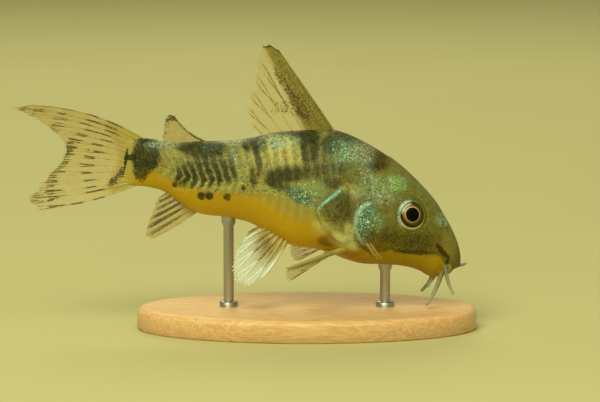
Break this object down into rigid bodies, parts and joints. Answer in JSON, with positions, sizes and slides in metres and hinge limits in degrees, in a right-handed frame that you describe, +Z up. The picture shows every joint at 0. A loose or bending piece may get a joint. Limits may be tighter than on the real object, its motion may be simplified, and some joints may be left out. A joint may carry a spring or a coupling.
{
  "type": "corydoras catfish model",
  "caption": "Life-size still model of a peppered corydoras catfish feeding head down, held over an oval display base by slim rods.",
  "frame": {"origin": "middle of the flat underside of the stand's oval base, on the surface that it stands on", "axes": "+X the way the fish faces, along its length; -Y the fish's right side, which faces the picture's camera; +Z up"},
  "size_m": [0.0628, 0.0248, 0.0384],
  "materials": {
    "skin": "wet olive skin over bony plates, speckled and blotched dark, amber below, with a blue-green sheen",
    "fins": "clear straw-coloured membrane with dark dashes on its rays",
    "barbels": "soft grey-green skin",
    "eyes": "clear dome over a black pupil in a pink-gold and olive iris",
    "base": "satin pale maple",
    "rods": "brushed"
  },
  "bodies": {
    "root": {"head": "skin", "trunk": "skin", "tail_stalk": "skin", "eye_right": "eyes", "eye_left": "eyes", "dorsal_fin": "fins", "adipose_fin": "fins", "tail_fin_upper": "fins", "tail_fin_lower": "fins", "anal_fin": "fins", "pelvic_fin_right": "fins", "pelvic_fin_left": "fins", "pectoral_fin_right": "fins", "pectoral_fin_left": "fins", "barbel_right_rear": "barbels", "barbel_right_front": "barbels", "barbel_left_rear": "barbels", "barbel_left_front": "barbels", "barbel_chin_right": "barbels", "barbel_chin_left": "barbels", "stand_base": "base", "stand_rod_front": "rods", "stand_rod_rear": "rods"}
  },
  "joints": []
}
